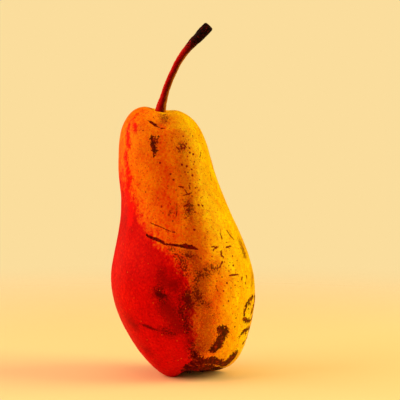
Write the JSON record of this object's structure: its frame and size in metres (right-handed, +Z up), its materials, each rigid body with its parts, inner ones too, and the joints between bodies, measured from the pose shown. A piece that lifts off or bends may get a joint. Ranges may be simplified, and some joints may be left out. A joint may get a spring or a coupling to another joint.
{
  "type": "pear",
  "caption": "Ripe long-necked pear as picked: leaning neck, curved woody stem in a shallow cavity, dried calyx in a lobed base that it stands on.",
  "frame": {"origin": "on the surface that the pear stands on, under the middle of its outline seen from above", "axes": "+Z up, +X to the right as the pear is seen in the picture, where its neck leans to the left and its stem curves to the right, and +Y away from the viewer"},
  "size_m": [0.0651, 0.0625, 0.1589],
  "materials": {
    "skin": "satin",
    "stem_wood": "matte",
    "dried_calyx": "matte"
  },
  "bodies": {
    "root": {"fruit": "skin", "stem": "stem_wood", "calyx": "dried_calyx"}
  },
  "joints": []
}
